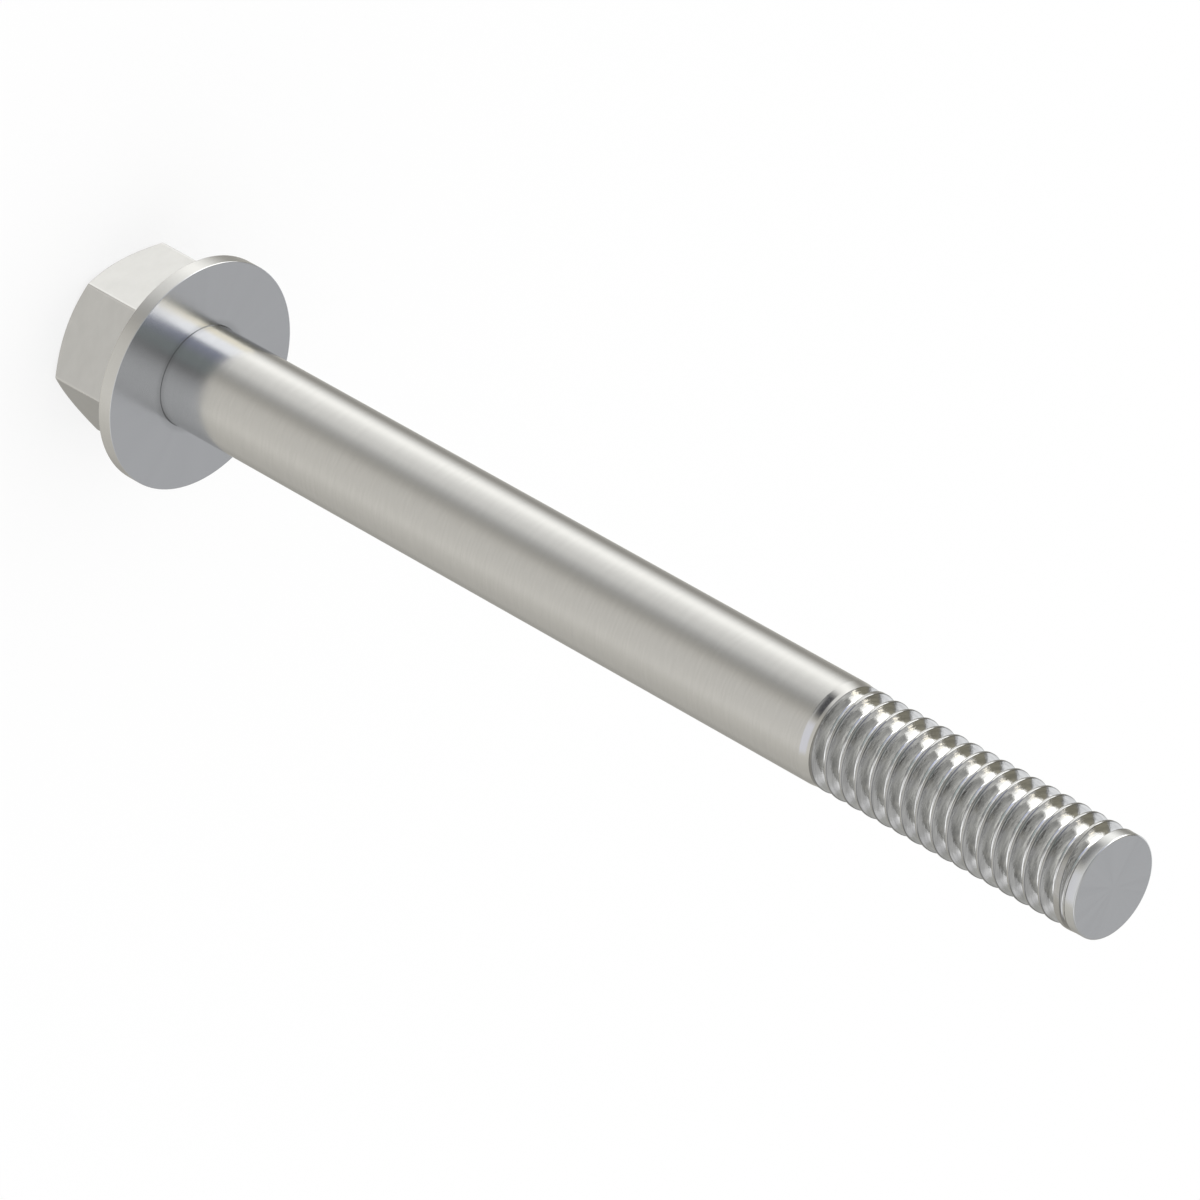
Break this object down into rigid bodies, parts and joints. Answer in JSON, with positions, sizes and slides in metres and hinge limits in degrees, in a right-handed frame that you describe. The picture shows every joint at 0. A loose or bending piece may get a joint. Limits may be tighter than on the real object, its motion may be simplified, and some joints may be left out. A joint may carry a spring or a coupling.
{
  "type": "flange bolt",
  "caption": "Long hex flange bolt in bright steel, with a plain shank and a short right-hand thread at the tip.",
  "frame": {"origin": "centre of the flange's bearing face, where the shank starts", "axes": "+Z along the shank from the head to the tip, +X towards a corner of the hexagon"},
  "size_m": [0.0178, 0.0178, 0.097],
  "materials": {
    "steel": "bright, smooth, faintly brushed"
  },
  "bodies": {
    "root": {"flange_bolt": "steel"}
  },
  "joints": []
}
